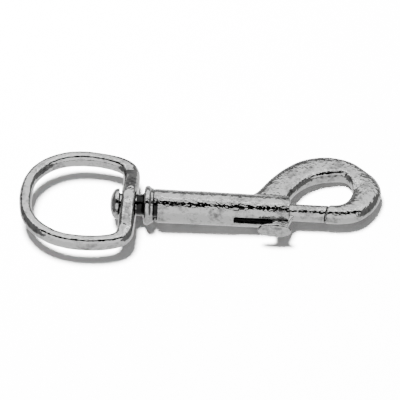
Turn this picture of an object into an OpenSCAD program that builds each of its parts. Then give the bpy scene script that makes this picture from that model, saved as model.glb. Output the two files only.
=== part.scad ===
// Swivel snap hook, lying on its side: a cast hook with a sliding bolt, and an eye that swivels.
// Millimetres. Before it is laid down, +X runs along the bore from the barrel's rear end to the nose,
// +Y is the side of the hook's bow, and the thumb pad is on the -Y side.

/* [Barrel] */
// Length of the barrel from its rear end to the mouth
barrel_len = 35; // [34.5:0.1:35.2]
// Radius of the barrel at its rear end
barrel_r = 4.35; // [4.2:0.05:4.5]
// Radius of the barrel at the mouth
mouth_r = 4.2; // [4.1:0.05:4.4]
// Radius of the bore that guides the bolt
bore_r = 2.3; // [2.25:0.05:2.4]
// Width of the side slot
slot_w = 2; // [1.8:0.1:2.4]
// Width of the staking notch in the rear end
notch_w = 1; // [0.6:0.1:1.4]

/* [Hook bow] */
// Half height of the bow, square to the hook's plane
bow_half = 2.25; // [2.1:0.05:2.4]
// Half height at the beak
beak_half = 2.45; // [2.3:0.05:2.6]
// Radius of the nose that the bolt meets
nose_r = 2.45; // [2.3:0.05:2.5]

/* [Bolt] */
// Stroke of the bolt
stroke = 9.9; // [9:0.1:10]
// Radial clearance of the bolt in the bore
bolt_clear = 0.08; // [0.06:0.01:0.1]
// Gap between the bolt's tip and the nose
tip_gap = 0.2; // [0.15:0.05:0.4]
// Slant of the tip and of the nose's face, in degrees
tip_slant = 13; // [0:1:15]
// Clearance of the web on each side of the slot
web_clear = 0.15; // [0.1:0.05:0.3]
// Length of the thumb pad
pad_len = 8.6; // [7.5:0.1:9]
// Height of the thumb pad
pad_h = 4.4; // [3.8:0.1:4.8]
// Thickness of the thumb pad
pad_t = 1.8; // [1.6:0.1:2]
// Distance from the bore's axis to the middle of the pad
pad_reach = 6.9; // [6.7:0.1:7.4]

/* [Spring] */
// Diameter of the spring wire
wire_d = 0.55; // [0.45:0.05:0.6]
// Number of turns
turns = 8; // [6:1:9]

/* [Swivel stud] */
// Radius of the neck that the eye turns on
neck_r = 2.75; // [2.6:0.05:2.8]
// Largest radius of the collar
collar_r = 5.1; // [4.9:0.05:5.3]
// Radius of the peened head
head_r = 4; // [3.8:0.1:4.2]
// Thickness of the peened head
head_t = 2.3; // [2:0.1:2.5]
// Radius of the spigot in the barrel's rear end
spigot_r = 3; // [2.8:0.05:3.2]
// Length of the spigot
spigot_len = 5; // [4:0.1:5.2]

/* [Swivel eye] */
// Clear width inside the eye
eye_w = 25.4; // [25:0.1:26]
// Length of the eye from its bar's inner face to the far end of the opening
eye_len = 22.8; // [22:0.1:23.5]
// Width of the ring's wire in the ring's plane
ring_w = 3.3; // [3:0.1:3.5]
// Half height of the ring's wire
ring_half = 2.1; // [2:0.05:2.4]
// Thickness of the straight bar along the bore's axis
bar_t = 4.25; // [4:0.05:4.4]
// Half height of the bar's boss
boss_half = 4.7; // [4.6:0.05:4.9]
// Radial clearance of the eye on the neck
eye_clear = 0.1; // [0.05:0.01:0.1]
// Gap between the eye's bar and the peened head
head_gap = 0.35; // [0.2:0.05:0.4]
// Length of bare neck between the eye's bar and the collar
neck_show = 1.8; // [1.6:0.1:2]
// Angle by which the eye lies askew on its neck, within its clearance
eye_lean = 2.4; // [0:0.2:2.4]

/* [Hidden] */
$fn = 96;
eps = 0.01;

// stations along the bore's axis
collar_rise = 1.55;
collar_w = 2.45;
bar_front = -collar_w - neck_show;
bar_back = bar_front - bar_t;
head_face = bar_back - head_gap;
bolt_r = bore_r - bolt_clear;
web_t = slot_w - 2 * web_clear;
web_back = barrel_len - 4.3;
slot_start = web_back - stroke;
tip_x = 44.6;
nose_x = tip_x + tip_gap;
shoulder_x = web_back - stroke;
tail_r = bolt_r - 1.1;
tail_x = spigot_len + stroke + 0.6;
coil_r = tail_r + wire_d / 2 + 0.2;

// how it comes to rest: on the collar, the mouth and the bow
pitch = atan((collar_r - mouth_r) / (barrel_len + collar_rise));
axis_z = barrel_len * sin(pitch) + mouth_r * cos(pitch);
bow_x = 45;
bow_y = 17.2;
roll = asin((axis_z - bow_x * sin(pitch) - bow_half - 0.12) / bow_y);
mid_x = (58.4 - eye_len - ring_w + bar_back) / 2;
mid_y = (20 - eye_w / 2 - ring_w + 0.4) / 2;

// One rib of the bow: outer point, inner point, half height, squareness of its section.
// The ribs run from the barrel's wall over the bow and the beak to the nose.
BOW = [
    [[22.8, 2.9], [34.5, 2.6], bow_half, 3],
    [[26.3, 6], [34.7, 4.3], bow_half, 3],
    [[29.3, 10.7], [35.8, 6.7], bow_half, 3],
    [[32.8, 15], [37.9, 9.6], bow_half, 3],
    [[36.9, 18.3], [40.6, 11.7], bow_half, 3],
    [[41.5, 20], [43.3, 12.8], bow_half, 3],
    [[46.3, 20.1], [46.2, 13.4], bow_half, 3],
    [[50.8, 18.5], [48.5, 13.5], bow_half, 3],
    [[54.4, 15.6], [50.1, 12], bow_half, 2.8],
    [[57.2, 12.4], [50.8, 10.1], beak_half, 2.6],
    [[58.4, 8.4], [50.9, 8.1], beak_half, 2.5],
    [[56.9, 3.4], [50.4, 6], beak_half, 2.4],
    [[53.5, -0.6], [49.3, 4], nose_r, 2.2],
    [[49.2, -2.25], [47.2, 2.7], nose_r, 2],
    [[43.8, -nose_r], [43.8, nose_r], nose_r, 2],
];

// One half of the eye's ring in the same way, from the far end of the loop to the middle of the bar.
loop_x = bar_back - eye_len;
side_x = bar_back - 10.4;
half_w = eye_w / 2;
RING = [
    [[loop_x - ring_w, 0], [loop_x, 0], ring_half, 2.4],
    [[loop_x - ring_w + 0.9, 6.4], [loop_x + 0.6, 5.2], ring_half, 2.4],
    [[loop_x + 0.8, half_w - 1.3], [loop_x + 3.2, half_w - 3.6], ring_half, 2.4],
    [[loop_x + 5.9, half_w + 2], [loop_x + 7.4, half_w - 1], ring_half, 2.4],
    [[side_x - 0.1, half_w + ring_w], [side_x, half_w], ring_half, 2.4],
    [[side_x + 6.4, half_w + 2.9], [side_x + 5.7, half_w - 0.4], ring_half, 2.4],
    [[bar_front - 2.7, half_w + 1.2], [bar_back - 0.9, half_w - 1.7], ring_half, 2.4],
    [[bar_front - 0.3, half_w - 2], [bar_back - 0.1, half_w - 4], ring_half + 0.2, 2.6],
    [[bar_front, half_w - 6.6], [bar_back, half_w - 7], ring_half + 1.3, 3],
    [[bar_front, 0], [bar_back, 0], boss_half, 3.4],
];
RING_BACK = [for (i = [len(RING) - 2:-1:1]) mirror_rib(RING[i])];

function mirror_rib(r) = [[r[0][0], -r[0][1]], [r[1][0], -r[1][1]], r[2], r[3]];
function curve(a, b, c, d, f) =
    (2 * b + (c - a) * f + (2 * a - 5 * b + 4 * c - d) * f * f + (3 * b - a - 3 * c + d) * f * f * f) / 2;
function pick(ribs, i, closed) =
    closed ? ribs[(i + len(ribs)) % len(ribs)] : ribs[max(0, min(len(ribs) - 1, i))];
function blend(ribs, i, f, closed) =
    [for (k = [0:3]) curve(pick(ribs, i - 1, closed)[k], pick(ribs, i, closed)[k],
        pick(ribs, i + 1, closed)[k], pick(ribs, i + 2, closed)[k], f)];
function arc_pow(v, p) = sign(v) * pow(abs(v), 2 / p);
function section(r, sides) =
    [for (k = [0:sides - 1])
        let (a = 360 * (k + 0.5) / sides, u = arc_pow(cos(a), r[3]), v = arc_pow(sin(a), r[3]))
        [(r[0][0] + r[1][0]) / 2 + u * (r[0][0] - r[1][0]) / 2,
            (r[0][1] + r[1][1]) / 2 + u * (r[0][1] - r[1][1]) / 2, v * r[2]]];

// Skin through ribs, with the given number of steps between two ribs
module loft(ribs, steps, sides, closed = false) {
    spans = closed ? len(ribs) : len(ribs) - 1;
    rows = closed ? spans * steps : spans * steps + 1;
    pts = [for (j = [0:rows - 1])
        each section(blend(ribs, min(floor(j / steps), spans - 1),
            j / steps - min(floor(j / steps), spans - 1), closed), sides)];
    last = closed ? rows - 1 : rows - 2;
    skin = [for (j = [0:last], k = [0:sides - 1])
        let (a = j * sides + k, b = j * sides + (k + 1) % sides,
            c = ((j + 1) % rows) * sides + (k + 1) % sides, d = ((j + 1) % rows) * sides + k)
        each [[a, c, b], [a, d, c]]];
    caps = closed ? [] : [[for (k = [0:sides - 1]) k],
        [for (k = [sides - 1:-1:0]) (rows - 1) * sides + k]];
    polyhedron(points = pts, faces = concat(skin, caps), convexity = 10);
}

module along_x(x = 0) {
    translate([x, 0, 0]) rotate([0, 90, 0]) children();
}

// Lays a piece down as the whole hook comes to rest on a table
module lie(side_roll) {
    translate([-mid_x, -mid_y, axis_z]) rotate([0, pitch, 0]) rotate([-side_roll, 0, 0]) children();
}

// Half space in front of the slanted plane where bolt and nose meet
module ahead_of(x) {
    translate([x, 0, 0]) rotate([0, 0, -tip_slant]) translate([0, -20, -20]) cube([40, 40, 40]);
}

module hook_body() {
    color("silver") lie(roll) difference() {
        union() {
            along_x() cylinder(h = barrel_len, r1 = barrel_r, r2 = mouth_r);
            difference() {
                loft(BOW, 6, 28);
                difference() {
                    translate([nose_x - 4, -4, -4]) cube([8, 8, 8]);
                    ahead_of(nose_x);
                }
            }
        }
        along_x(spigot_len) cylinder(h = barrel_len - spigot_len + 2, r = bore_r);
        along_x(-1) cylinder(h = spigot_len + 1, r = spigot_r);
        translate([slot_start, -barrel_r - 2, -slot_w / 2])
            cube([barrel_len - slot_start + 2, barrel_r + 2, slot_w]);
        translate([-1, -barrel_r - 1, -barrel_r - 1])
            cube([1 + notch_w, barrel_r - 0.9, 2 * barrel_r + 2]);
    }
}

// Pebble that the thumb pulls, wide along the barrel
module thumb_pad() {
    half = pad_len / 2;
    ribs = [for (a = [-80:20:80])
        let (x = web_back + 0.7 + half * sin(a) / sin(80), f = pow(cos(a), 0.8))
        [[x, -pad_reach + f * pad_t / 2], [x, -pad_reach - f * pad_t / 2], f * pad_h / 2, 2.3]];
    loft(ribs, 2, 24);
}

module bolt() {
    color("gainsboro") lie(roll) union() {
        difference() {
            along_x(shoulder_x) cylinder(h = 30, r = bolt_r);
            ahead_of(tip_x);
        }
        along_x(tail_x) cylinder(h = shoulder_x - tail_x + 1, r = tail_r);
        translate([0, 0, -web_t / 2]) linear_extrude(web_t)
            polygon([[web_back, 0], [web_back, -pad_reach], [web_back + 3.6, -pad_reach],
                [barrel_len - 0.1, -4.8], [barrel_len + 0.5, -2.9], [barrel_len + 1.3, -2.1],
                [barrel_len + 2.4, -1.8], [barrel_len + 2.4, 0]]);
        thumb_pad();
    }
}

module bolt_spring() {
    span = shoulder_x - spigot_len - wire_d - 2 * eps;
    rows = turns * 18;
    sides = 8;
    pts = [for (j = [0:rows])
        let (f = j / rows, t = f * 360 * turns,
            g = f < 0.1 ? f * f * 2.5 : f > 0.9 ? 1 - pow(1 - f, 2) * 2.5 : 0.025 + (f - 0.1) * 0.95 / 0.8,
            x = spigot_len + wire_d / 2 + eps + g * span)
        each [for (k = [0:sides - 1])
            let (r = coil_r + cos(k * 360 / sides) * wire_d / 2)
            [x + sin(k * 360 / sides) * wire_d / 2, r * cos(t), r * sin(t)]]];
    skin = [for (j = [0:rows - 1], k = [0:sides - 1])
        let (a = j * sides + k, b = j * sides + (k + 1) % sides,
            c = (j + 1) * sides + (k + 1) % sides, d = (j + 1) * sides + k)
        each [[a, b, c], [a, c, d]]];
    caps = [[for (k = [sides - 1:-1:0]) k], [for (k = [0:sides - 1]) rows * sides + k]];
    color("slategray") lie(roll) polyhedron(points = pts, faces = concat(skin, caps), convexity = 20);
}

module swivel_stud() {
    dome = [for (a = [0:10:80]) [head_r * sin(a), head_face - 0.4 - (head_t - 0.4) * cos(a)]];
    bead = [for (a = [-80:20:60]) [collar_r - 0.9 + 0.9 * cos(a), -collar_rise + 0.9 * sin(a)]];
    color("lightgray") lie(roll) along_x() rotate_extrude()
        polygon(concat(dome, [[head_r, head_face - 0.4], [head_r, head_face], [neck_r, head_face],
            [neck_r, -collar_w - 0.6], [neck_r + 0.2, -collar_w - 0.2], [neck_r + 0.6, -collar_w]],
            bead, [[barrel_r, 0], [spigot_r, 0], [spigot_r, spigot_len], [0, spigot_len]]));
}

module swivel_eye() {
    bar_mid = (bar_front + bar_back) / 2;
    color("whitesmoke") lie(0) translate([bar_mid, 0, 0]) rotate([0, 0, -eye_lean])
        translate([-bar_mid, 0, 0]) difference() {
            loft(concat(RING, RING_BACK), 5, 28, true);
            along_x(bar_back - 2) cylinder(h = bar_t + 4, r = neck_r + eye_clear);
        }
}

hook_body();
bolt();
bolt_spring();
swivel_stud();
swivel_eye();
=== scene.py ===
"""Looks of the swivel snap hook: nickel-plated castings on a pale studio table."""

import logging
import math
from dataclasses import dataclass
from enum import Enum

import bpy
import numpy as np
from mathutils import Matrix, Vector, noise


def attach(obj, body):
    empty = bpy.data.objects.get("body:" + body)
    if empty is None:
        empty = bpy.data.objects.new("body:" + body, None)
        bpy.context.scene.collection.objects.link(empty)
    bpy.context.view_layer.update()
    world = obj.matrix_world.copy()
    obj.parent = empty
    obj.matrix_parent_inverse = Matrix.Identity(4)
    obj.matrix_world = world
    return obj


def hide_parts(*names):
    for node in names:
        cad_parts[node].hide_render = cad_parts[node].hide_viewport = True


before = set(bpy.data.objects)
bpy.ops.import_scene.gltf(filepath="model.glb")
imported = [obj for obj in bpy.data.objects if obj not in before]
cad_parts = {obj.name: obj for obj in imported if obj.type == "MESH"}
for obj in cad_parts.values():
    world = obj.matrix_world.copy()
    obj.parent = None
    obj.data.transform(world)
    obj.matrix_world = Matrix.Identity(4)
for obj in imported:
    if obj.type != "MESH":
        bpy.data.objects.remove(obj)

LOG = logging.getLogger("snap_hook")
MM = 0.001

Triple = tuple[float, float, float]


class Body(Enum):
    """Rigid bodies of the record."""

    HOOK = "hook"
    BOLT = "bolt"
    EYE = "eye"


def add_object(name: str, data: bpy.types.ID) -> bpy.types.Object:
    """Makes an object and puts it in the scene.

    Args:
        name: Name of the object.
        data: Its mesh, lamp or camera.

    Returns:
        The new object.
    """
    obj = bpy.data.objects.new(name, data)
    bpy.context.scene.collection.objects.link(obj)
    return obj


@dataclass(frozen=True)
class Rest:
    """How the hook lies: a frame along its bore, tipped and rolled as it rests.

    Args:
        pitch: Angle of the bore below the horizontal, in degrees.
        roll: Angle by which the bow's side sinks, in degrees.
        origin: Rear end of the barrel on the bore's axis, in mm.
    """

    pitch: float = 1.4106
    roll: float = 5.4
    origin: Triple = (-11.9, -2.2, 5.0604)

    def matrix(self, rolled: bool) -> Matrix:
        """Finds the frame along the bore, in mm.

        Args:
            rolled: Whether the frame rolls with the hook's plane.

        Returns:
            Matrix from the bore's frame to the row frame.
        """
        turn = Matrix.Rotation(math.radians(self.pitch), 4, "Y")
        if rolled:
            turn = turn @ Matrix.Rotation(math.radians(-self.roll), 4, "X")
        return Matrix.Translation(self.origin) @ turn


@dataclass(frozen=True)
class Grain:
    """Unevenness of a cast skin, as real relief.

    Args:
        size: Size of one bump, in mm.
        height: Height of the bumps, in mm.
    """

    size: float
    height: float

    def lift(self, points: np.ndarray) -> np.ndarray:
        """Finds the height of the relief.

        Args:
            points: Points in the bore's frame, in mm.

        Returns:
            Height at each point, in mm.
        """
        return self.height * np.array([noise.noise(Vector(p) / self.size) for p in points])


@dataclass(frozen=True)
class Calm:
    """A stretch of the bore's axis round which a skin has no grain, because a piece moves there.

    Args:
        start: Where it starts, from the barrel's rear end towards the nose, in mm.
        end: Where it ends, in mm.
        radius: Radius within which the skin has no grain, in mm.
        fade: Width over which the grain comes back outside the radius, in mm.
        end_fade: Length over which the grain comes back past the ends, in mm.
    """

    start: float
    end: float
    radius: float
    fade: float = 0.6
    end_fade: float = 1.0

    def share(self, points: np.ndarray) -> np.ndarray:
        """Finds how much of the grain is left.

        Args:
            points: Points in the bore's frame, in mm.

        Returns:
            Share of the grain at each point, from 0 to 1.
        """
        past = np.maximum(self.start - points[:, 0], points[:, 0] - self.end) / self.end_fade
        outside = (np.hypot(points[:, 1], points[:, 2]) - self.radius) / self.fade
        return np.clip(np.maximum(past, outside), 0, 1)


@dataclass(frozen=True)
class Dent:
    """A local mark pressed into a skin.

    Args:
        at: Middle of the mark in the bore's frame, in mm.
        radius: Radius of the mark, in mm.
        depth: Depth of the mark, in mm.
    """

    at: Triple
    radius: float
    depth: float

    def lift(self, points: np.ndarray) -> np.ndarray:
        """Finds the height of the pressed skin.

        Args:
            points: Points in the bore's frame, in mm.

        Returns:
            Height at each point, in mm, which is 0 or less.
        """
        far = np.linalg.norm(points - np.array(self.at), axis=1) / self.radius
        return -self.depth * np.exp(-(far**3))


@dataclass(frozen=True)
class GroundFace:
    """A flat that was ground on a casting, such as where its gate was broken off.

    Args:
        at: A point of the flat in the bore's frame, in mm.
        normal: Outward normal of the flat.
        reach: Radius round the point within which the flat cuts, in mm.
    """

    at: Triple
    normal: Triple
    reach: float

    def cut(self, points: np.ndarray) -> np.ndarray:
        """Pushes what stands over the flat down to it.

        Args:
            points: Points in the bore's frame, in mm.

        Returns:
            The points after grinding.
        """
        off = points - np.array(self.at)
        out = np.array(self.normal) / np.linalg.norm(self.normal)
        over = off @ out
        near = np.linalg.norm(off, axis=1) < self.reach
        return points - np.where((over > 0) & near, over, 0)[:, None] * out


@dataclass
class Wiring:
    """Adds nodes to one material's tree and joins them.

    Args:
        tree: The material's node tree.
    """

    tree: bpy.types.NodeTree

    def feed(self, node: bpy.types.Node, inputs: dict) -> None:
        """Sets or joins inputs of a node.

        Args:
            node: The node.
            inputs: Value or socket for each input, by its name or number.
        """
        for key, value in inputs.items():
            if isinstance(value, bpy.types.NodeSocket):
                self.tree.links.new(value, node.inputs[key])
            else:
                node.inputs[key].default_value = value

    def add(self, kind: str, inputs: dict, **settings: object) -> bpy.types.Node:
        """Adds a node.

        Args:
            kind: Type of the node.
            inputs: Value or socket for each input, by its name or number.
            settings: Properties of the node.

        Returns:
            The new node.
        """
        node = self.tree.nodes.new(kind)
        for key, value in settings.items():
            setattr(node, key, value)
        self.feed(node, inputs)
        return node


@dataclass(frozen=True)
class PaintedShade:
    """A stretch round the bore's axis painted black as shade, inside recesses and gaps that the light
    doesn't reach.

    Args:
        at: Middle of the stretch in the row frame, in mm.
        half: Half its length along X, in mm.
        radius: Radius within which the painted shade lies, in mm.
        slant: Slope of the stretch's ends against Y.
        edge: Share of the radius at which the painted shade is full.
        color: Colour of the painted shade.
    """

    at: Triple
    half: float
    radius: float
    slant: float = 0.0
    edge: float = 0.94
    color: Triple = (0.012, 0.012, 0.012)

    def cover(
        self, wiring: Wiring, place: bpy.types.NodeSocket, plate: bpy.types.NodeSocket
    ) -> bpy.types.NodeSocket:
        """Mixes painted shade, which is black, over a colour within the stretch.

        Args:
            wiring: Wiring of the material.
            place: Socket with the place in the row frame.
            plate: Socket with the colour so far.

        Returns:
            Socket with the new colour.
        """
        middle = [v * MM for v in self.at]
        off = wiring.add("ShaderNodeVectorMath", {0: place, 1: middle}, operation="SUBTRACT")
        slope = (1, -self.slant, 0)
        ahead = wiring.add(
            "ShaderNodeVectorMath", {0: off.outputs["Vector"], 1: slope}, operation="DOT_PRODUCT"
        )
        along = wiring.add(
            "ShaderNodeMath", {0: ahead.outputs["Value"], 1: 0, 2: self.half * MM}, operation="COMPARE"
        )
        across = wiring.add(
            "ShaderNodeVectorMath", {0: off.outputs["Vector"], 1: (0, 1, 1)}, operation="MULTIPLY"
        )
        far = wiring.add("ShaderNodeVectorMath", {0: across.outputs["Vector"]}, operation="LENGTH")
        outer = self.radius * MM
        span = {"From Min": outer, "From Max": outer * self.edge, "Value": far.outputs["Value"]}
        near = wiring.add("ShaderNodeMapRange", span)
        inside = wiring.add(
            "ShaderNodeMath", {0: along.outputs["Value"], 1: near.outputs["Result"]}, operation="MULTIPLY"
        )
        # Painted shade: black mixed over the plate's colour within the stretch.
        colors = {"Factor": inside.outputs["Value"], "A": plate, "B": (*self.color, 1)}
        return wiring.add("ShaderNodeMix", colors, data_type="RGBA").outputs["Result"]


@dataclass(frozen=True)
class Nickel:
    """Nickel plate over a cast or turned skin, or a plain wire's drawn skin.

    Args:
        name: Name of the material.
        tint: Colour of the plate.
        dull: Colour in the hollows, where the plate is thin.
        rough: Lowest and highest roughness.
        bump: Strength of the fine bumps.
        pore: Size of the fine bumps, in mm.
        painted_shade: Stretches painted black as shade.
        patch: Size of the broad patches, in pores.
        fine_share: Weight of the fine bumps against the broad patches.
        bump_depth: Depth of the fine bumps, in pores.
        mottle: How strongly the smaller scales of the noise show.
    """

    name: str
    tint: Triple
    dull: Triple
    rough: tuple[float, float]
    bump: float
    pore: float
    painted_shade: tuple[PaintedShade, ...] = ()
    patch: float = 5.0
    fine_share: float = 0.7
    bump_depth: float = 0.25
    mottle: float = 0.62

    def _spots(
        self, wiring: Wiring, place: bpy.types.NodeSocket, size: float, detail: float, spread: float
    ) -> bpy.types.NodeSocket:
        """Makes a noise that is stretched over the whole range.

        Args:
            wiring: Wiring of the material.
            place: Socket with the place.
            size: Size of one spot, in mm.
            detail: Number of smaller scales in the noise.
            spread: How far round the middle the noise is taken as the whole range.

        Returns:
            Socket with values from 0 to 1.
        """
        look = {"Scale": 1 / MM / size, "Detail": detail, "Roughness": self.mottle, "Vector": place}
        spots = wiring.add("ShaderNodeTexNoise", look)
        span = {"From Min": 0.5 - spread, "From Max": 0.5 + spread, "Value": spots.outputs["Fac"]}
        return wiring.add("ShaderNodeMapRange", span).outputs["Result"]

    def build(self) -> bpy.types.Material:
        """Makes the material.

        Returns:
            The new material.
        """
        mat = bpy.data.materials.new(self.name)
        mat.use_nodes = True
        wiring = Wiring(mat.node_tree)
        place = wiring.add("ShaderNodeTexCoord", {}).outputs["Object"]
        fine = self._spots(wiring, place, self.pore, 1, 0.2)
        broad = self._spots(wiring, place, self.pore * self.patch, 2, 0.15)
        terms = {0: fine, 1: self.fine_share, 2: broad}
        total = wiring.add("ShaderNodeMath", terms, operation="MULTIPLY_ADD", use_clamp=True)
        plate = total.outputs["Value"]
        colors = {"A": (*self.dull, 1), "B": (*self.tint, 1), "Factor": plate}
        color = wiring.add("ShaderNodeMix", colors, data_type="RGBA").outputs["Result"]
        # Painted shade over the recesses and gaps.
        for stretch in self.painted_shade:
            color = stretch.cover(wiring, place, color)
        span = {"To Min": self.rough[1], "To Max": self.rough[0], "Value": plate}
        rough = wiring.add("ShaderNodeMapRange", span).outputs["Result"]
        relief = {"Strength": self.bump, "Distance": self.pore * MM * self.bump_depth, "Height": fine}
        normal = wiring.add("ShaderNodeBump", relief).outputs["Normal"]
        wiring.feed(
            mat.node_tree.nodes["Principled BSDF"],
            {"Metallic": 1.0, "Base Color": color, "Roughness": rough, "Normal": normal},
        )
        return mat


@dataclass
class Skin:
    """A skin grown from a CAD node, with softened edges and the marks of its making.

    Args:
        node: CAD node that it stands for.
        body: Body that it rides on.
        finish: Finish of the skin.
        cell: Size of the mesh cells, in mm.
        soften: Number of smoothing passes.
        grains: Reliefs of the skin.
        calm: Stretch without grain, if there is one.
        dents: Local marks.
        flats: Ground flats.
        inset: Depth by which the whole skin is drawn in, in mm.
        rolled: Whether the marks are placed in the hook's rolled frame.
    """

    node: str
    body: Body
    finish: Nickel
    cell: float
    soften: int
    grains: tuple[Grain, ...] = ()
    calm: Calm | None = None
    dents: tuple[Dent, ...] = ()
    flats: tuple[GroundFace, ...] = ()
    inset: float = 0.0
    rolled: bool = True

    def build(self) -> bpy.types.Object:
        """Builds and dresses the piece.

        Returns:
            The finished object, riding on its body.
        """
        obj = add_object(f"{self.node}_skin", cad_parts[self.node].data.copy())
        self._grow(obj)
        self._shape(obj.data)
        obj.data.materials.clear()
        obj.data.materials.append(self.finish.build())
        for poly in obj.data.polygons:
            poly.use_smooth = True
        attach(obj, self.body.value)
        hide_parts(self.node)
        return obj

    def _grow(self, obj: bpy.types.Object) -> None:
        """Turns the CAD copy into an even fine mesh with soft edges.

        Args:
            obj: Object with the copy of the CAD node's mesh.
        """
        cells = obj.modifiers.new("cells", "REMESH")
        cells.mode = "VOXEL"
        cells.voxel_size = self.cell * MM
        soft = obj.modifiers.new("soft", "SMOOTH")
        soft.factor = 0.5
        soft.iterations = self.soften
        graph = bpy.context.evaluated_depsgraph_get()
        mesh = bpy.data.meshes.new_from_object(obj.evaluated_get(graph))
        obj.modifiers.clear()
        obj.data = mesh
        mesh.name = obj.name

    def _shape(self, mesh: bpy.types.Mesh) -> None:
        """Moves the points for grain, dents and ground flats.

        Args:
            mesh: The piece's mesh, in the row frame.
        """
        count = len(mesh.vertices)
        points = np.empty(count * 3)
        mesh.vertices.foreach_get("co", points)
        normals = np.empty(count * 3)
        mesh.vertex_normals.foreach_get("vector", normals)
        to_row = np.array(Rest().matrix(self.rolled))
        turn, shift = to_row[:3, :3], to_row[:3, 3]
        points = (points.reshape(-1, 3) / MM - shift) @ turn
        normals = normals.reshape(-1, 3) @ turn
        lift = np.zeros(count)
        for grain in self.grains:
            lift += grain.lift(points)
        if self.calm:
            lift *= self.calm.share(points)
        lift -= self.inset
        for dent in self.dents:
            lift += dent.lift(points)
        points += normals * lift[:, None]
        for flat in self.flats:
            points = flat.cut(points)
        points = (points @ turn.T + shift) * MM
        mesh.vertices.foreach_set("co", points.ravel())
        mesh.update()


# Painted shade: black bands where light doesn't reach, inside the bore and the slot, and in the gap between
# the bolt's tip and the nose.
BORE_SHADE = PaintedShade((5.0, -2.2, 4.66), 17.7, 2.6)
NOSE_GAP_SHADE = PaintedShade((32.75, -2.2, 3.96), 0.32, 3.6, 0.23)
# Painted shade on the stud's neck between collar and eye, where the neck is partly dark oxide too, and in
# the gap round the spigot at the barrel's rear end.
NECK_SHADE = PaintedShade((-15.2, -2.2, 5.42), 1.05, 3.4)
SPIGOT_GAP_SHADE = PaintedShade((-11.4, -2.2, 5.33), 0.6, 4.2)

CAST = Nickel(
    "cast_nickel", tint=(0.3, 0.3, 0.298), dull=(0.09, 0.09, 0.09), rough=(0.08, 0.16), bump=0.3, pore=0.8,
    # painted shade in the bore and at the nose's gap
    painted_shade=(BORE_SHADE, NOSE_GAP_SHADE),
)
EYE = Nickel(
    "eye_nickel", tint=(0.32, 0.32, 0.318), dull=(0.12, 0.12, 0.12), rough=(0.05, 0.11), bump=0.15, pore=1.0
)
STUD = Nickel(
    "stud_nickel", tint=(0.3, 0.3, 0.298), dull=(0.1, 0.1, 0.1), rough=(0.06, 0.14), bump=0.2, pore=0.8,
    # painted shade on the neck and round the spigot
    painted_shade=(NECK_SHADE, SPIGOT_GAP_SHADE),
)
WIRE = Nickel(
    "spring_steel", tint=(0.42, 0.42, 0.43), dull=(0.25, 0.25, 0.26), rough=(0.2, 0.35), bump=0.1, pore=0.4
)


@dataclass
class HookCasting:
    """The cast hook: barrel, bow and nose in one piece.

    Args:
        cell: Size of the mesh cells, in mm.
        soften: Number of smoothing passes.
        grains: Reliefs of the cast skin.
        nicks: Nicks inside the bow, behind the nose.
        end_flat: Flat at the bow's far end.
        gate_flat: Flat where the gate was broken off.
    """

    cell: float = 0.21
    soften: int = 9
    grains: tuple[Grain, ...] = (Grain(0.8, 0.016), Grain(1.8, 0.024), Grain(6.0, 0.06))
    nicks: tuple[Dent, ...] = (Dent((48.6, 13.4, 1.6), 0.5, 0.3), Dent((49.6, 12.8, 1.9), 0.35, 0.3))
    end_flat: GroundFace = GroundFace((55.9, 1.5, 1.7), (0.55, -0.5, 0.67), 4.0)
    gate_flat: GroundFace = GroundFace((51.2, 11.3, 1.7), (-0.45, -0.35, 0.82), 3.0)

    def build(self) -> list[bpy.types.Object]:
        """Builds the casting.

        Returns:
            Its one piece.
        """
        flats = (self.end_flat, self.gate_flat)
        casting = Skin(
            "hook_body", Body.HOOK, CAST, self.cell, self.soften, self.grains, dents=self.nicks, flats=flats
        )
        return [casting.build()]


@dataclass
class BoltGroup:
    """The sliding bolt with its thumb pad, and the spring behind it.

    Args:
        cell: Size of the bolt's mesh cells, in mm.
        soften: Number of smoothing passes on the bolt.
        grains: Reliefs of the bolt's cast skin.
        bore: Stretch of the bolt that runs in the bore.
        wire_cell: Size of the spring's mesh cells, in mm.
        wire_soften: Number of smoothing passes on the spring.
        wire_inset: Depth by which the wire is drawn in, in mm.
    """

    cell: float = 0.16
    soften: int = 6
    grains: tuple[Grain, ...] = (Grain(0.8, 0.018), Grain(1.8, 0.02))
    bore: Calm = Calm(-9.0, 31.0, 2.6)
    wire_cell: float = 0.1
    wire_soften: int = 2
    wire_inset: float = 0.07

    def bolt(self) -> Skin:
        """Describes the bolt."""
        return Skin("bolt", Body.BOLT, CAST, self.cell, self.soften, self.grains, self.bore)

    def spring(self) -> Skin:
        """Describes the spring."""
        return Skin(
            "bolt_spring", Body.HOOK, WIRE, self.wire_cell, self.wire_soften, inset=self.wire_inset
        )

    def build(self) -> list[bpy.types.Object]:
        """Builds the group.

        Returns:
            Bolt and spring.
        """
        return [self.bolt().build(), self.spring().build()]


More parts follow.
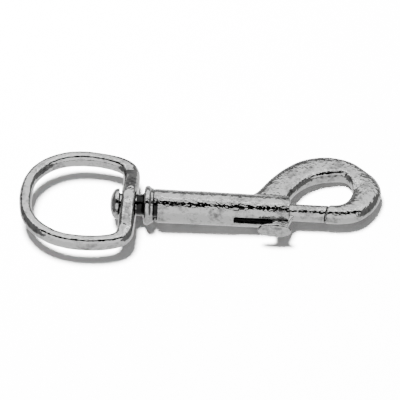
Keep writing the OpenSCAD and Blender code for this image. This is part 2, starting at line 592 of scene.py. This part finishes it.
@dataclass
class Swivel:
    """The staked stud with its peened head, and the cast eye that turns on it.

    Args:
        stud_cell: Size of the stud's mesh cells, in mm.
        stud_soften: Number of smoothing passes on the stud.
        stud_grain: Relief of the stud, outside its neck.
        neck: Stretch of the stud that the eye turns on.
        eye_cell: Size of the eye's mesh cells, in mm.
        eye_soften: Number of smoothing passes on the eye.
        eye_grains: Reliefs of the eye, outside its boss.
        boss: Stretch of the eye that turns on the stud.
        pit: The casting pit in the eye's straight bar.
        scar_count: Number of small marks in a row at the eye's lower corner.
        scar_start: Place of the first of them in the bore's frame, in mm.
        scar_step: Distance between them, in mm.
        scar_sway: Distance by which they leave the row to either side, in mm.
        scar_radius: Radius of each, in mm.
        scar_depth: Depth of each, in mm.
    """

    stud_cell: float = 0.15
    stud_soften: int = 6
    stud_grain: Grain = Grain(1.5, 0.04)
    neck: Calm = Calm(-9.0, 0.0, 2.8)
    eye_cell: float = 0.2
    eye_soften: int = 26
    eye_grains: tuple[Grain, ...] = (Grain(1.4, 0.03), Grain(6.0, 0.12))
    boss: Calm = Calm(-12.0, 2.0, 3.2)
    pit: Dent = Dent((-6.0, 1.9, 4.5), 0.45, 0.5)
    scar_count: int = 6
    scar_start: Triple = (-6.8, -9.3, 2.2)
    scar_step: float = 0.32
    scar_sway: float = 0.5
    scar_radius: float = 0.32
    scar_depth: float = 0.16

    def scars(self) -> tuple[Dent, ...]:
        """Places the small marks at the eye's lower corner.

        Returns:
            The marks.
        """
        x, y, z = self.scar_start
        marks = []
        for i in range(self.scar_count):
            at = (x + self.scar_sway * math.sin(4 * i), y + self.scar_step * i, z)
            marks.append(Dent(at, self.scar_radius, self.scar_depth))
        return tuple(marks)

    def stud(self) -> Skin:
        """Describes the stud."""
        return Skin(
            "swivel_stud", Body.HOOK, STUD, self.stud_cell, self.stud_soften, (self.stud_grain,), self.neck
        )

    def eye(self) -> Skin:
        """Describes the eye."""
        return Skin(
            "swivel_eye", Body.EYE, EYE, self.eye_cell, self.eye_soften, self.eye_grains, self.boss,
            dents=(self.pit, *self.scars()), rolled=False,
        )

    def build(self) -> list[bpy.types.Object]:
        """Builds the swivel.

        Returns:
            Stud and eye.
        """
        return [self.stud().build(), self.eye().build()]


@dataclass(frozen=True)
class Card:
    """A curved card or lamp of the studio, seen only in reflections.

    Args:
        name: Name of the card.
        low: Angle of its lower edge over the horizon on the camera's side, in degrees.
        high: Angle of its upper edge; over 90 is behind the object.
        glow: Radiance; 0 is a black card.
        dist: Distance from the object, in m.
        length: Length along the object, in m.
        steps: Number of flat strips.
    """

    name: str
    low: float
    high: float
    glow: float
    dist: float = 0.7
    length: float = 1.6
    steps: int = 12

    def build(self) -> None:
        """Builds the card as a curved strip round the object's length."""
        verts, faces = [], []
        for i in range(self.steps + 1):
            angle = math.radians(self.low + (self.high - self.low) * i / self.steps)
            y, z = -self.dist * math.cos(angle), self.dist * math.sin(angle)
            verts += [(-self.length / 2, y, z), (self.length / 2, y, z)]
        for i in range(self.steps):
            faces.append((2 * i, 2 * i + 1, 2 * i + 3, 2 * i + 2))
        mesh = bpy.data.meshes.new(self.name)
        mesh.from_pydata(verts, [], faces)
        mat = bpy.data.materials.new(self.name)
        mat.use_nodes = True
        mat.node_tree.nodes.clear()
        wiring = Wiring(mat.node_tree)
        glow = wiring.add("ShaderNodeEmission", {"Color": (1, 1, 1, 1), "Strength": self.glow})
        wiring.add("ShaderNodeOutputMaterial", {"Surface": glow.outputs["Emission"]})
        mesh.materials.append(mat)
        obj = add_object(self.name, mesh)
        obj.visible_camera = False
        obj.visible_shadow = False
        obj.visible_diffuse = False


@dataclass(frozen=True)
class Table:
    """The pale table, which the metal doesn't reflect.

    Args:
        half: Half its side, in m.
        white: Share of the light that it gives back.
        rough: Roughness of its surface.
        gloss: Strength of its gloss.
    """

    half: float = 3.0
    white: float = 0.93
    rough: float = 0.9
    gloss: float = 0.1

    def build(self) -> None:
        """Builds the table."""
        mesh = bpy.data.meshes.new("table")
        corners = [(x * self.half, y * self.half, 0) for x, y in ((-1, -1), (1, -1), (1, 1), (-1, 1))]
        mesh.from_pydata(corners, [], [(0, 1, 2, 3)])
        mat = bpy.data.materials.new("table")
        mat.use_nodes = True
        look = {
            "Base Color": (self.white, self.white, self.white, 1),
            "Roughness": self.rough,
            "Specular IOR Level": self.gloss,
        }
        Wiring(mat.node_tree).feed(mat.node_tree.nodes["Principled BSDF"], look)
        mesh.materials.append(mat)
        obj = add_object("table", mesh)
        obj.visible_glossy = False


@dataclass(frozen=True)
class KeyLamp:
    """The soft lamp high above, a little behind and to the left, which casts the shadow.

    Args:
        at: Its place, in m.
        size: Its diameter, in m.
        power: Its power, in W.
    """

    at: Triple = (-0.2, 0.2, 1.04)
    size: float = 0.34
    power: float = 200.0

    def build(self) -> None:
        """Builds the lamp, aimed at the object."""
        data = bpy.data.lights.new("key", "AREA")
        data.shape = "DISK"
        data.size = self.size
        data.energy = self.power
        lamp = add_object("key", data)
        at = Vector(self.at)
        lamp.matrix_world = Matrix.Translation(at) @ at.to_track_quat("Z", "Y").to_matrix().to_4x4()
        lamp.visible_glossy = False


@dataclass(frozen=True)
class Camera:
    """The long-lens camera of the photograph.

    Args:
        pixel: Size of one pixel at the object, in mm.
        side: Number of pixels along each side of the picture.
        elevation: Height above the horizon, in degrees.
        yaw: Turn to the right of the hook's length, in degrees.
        anchor: Pixel at which the barrel's rear end lies on the bore's axis.
        dist: Distance from the object, in m.
        sensor: Width of the sensor, in mm.
        reach: Farthest distance that is seen, in m.
    """

    pixel: float = 0.257
    side: int = 400
    elevation: float = 48.5
    yaw: float = 2.64
    anchor: tuple[float, float] = (153.5, 205.5)
    dist: float = 1.6
    sensor: float = 36.0
    reach: float = 10.0

    def build(self) -> None:
        """Sets the camera so that the anchor falls on its pixel."""
        e, a = math.radians(self.elevation), math.radians(self.yaw)
        right = Vector((math.cos(a), math.sin(a), 0))
        up = Vector((-math.sin(a) * math.sin(e), math.cos(a) * math.sin(e), math.cos(e)))
        back = right.cross(up)
        middle = self.side / 2
        aim = Vector(Rest().origin) + right * (middle - self.anchor[0]) * self.pixel
        aim += up * (self.anchor[1] - middle) * self.pixel
        data = bpy.data.cameras.new("camera")
        data.sensor_width = self.sensor
        data.lens = self.sensor * self.dist / (self.side * self.pixel * MM)
        data.clip_end = self.reach
        camera = add_object("camera", data)
        turn = Matrix((right, up, back)).transposed().to_4x4()
        camera.matrix_world = Matrix.Translation(aim * MM + back * self.dist) @ turn
        bpy.context.scene.camera = camera


@dataclass
class Studio:
    """Pale table, soft light, reflected cards and the camera.

    Args:
        sky: Strength of the even light from all round.
        table: The table.
        cards: What the metal reflects, from below the camera's side round to below the far side.
        key: The lamp.
        camera: The camera.
    """

    sky: float = 0.35
    table: Table = Table()
    cards: tuple[Card, ...] = (
        Card("card_under", -90, 3, 2.0),
        Card("card_low", 3, 53, 2.6),
        Card("card_dark", 54, 84, 0.0),
        Card("card_over", 86, 103, 2.8),
        Card("lamp_line", 105, 113, 6.5),
        Card("card_top", 115, 150, 3.1),
        Card("card_back", 158, 179, 0.5, dist=0.9),
        Card("card_beyond", 180, 270, 1.6),
    )
    key: KeyLamp = KeyLamp()
    camera: Camera = Camera()

    def light_sky(self) -> None:
        """Gives the world its even light."""
        world = bpy.data.worlds.new("world")
        world.use_nodes = True
        background = world.node_tree.nodes["Background"]
        background.inputs["Color"].default_value = (1, 1, 1, 1)
        background.inputs["Strength"].default_value = self.sky
        bpy.context.scene.world = world

    def build(self) -> None:
        """Builds the whole studio."""
        self.table.build()
        self.light_sky()
        for card in self.cards:
            card.build()
        self.key.build()
        self.camera.build()


def main() -> None:
    """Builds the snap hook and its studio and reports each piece."""
    logging.basicConfig(level=logging.INFO, format="%(message)s")
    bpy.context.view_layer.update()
    for group in (HookCasting(), BoltGroup(), Swivel()):
        for piece in group.build():
            LOG.info("%s: %d faces", piece.name, len(piece.data.polygons))
    Studio().build()


if __name__ == "__main__":
    main()
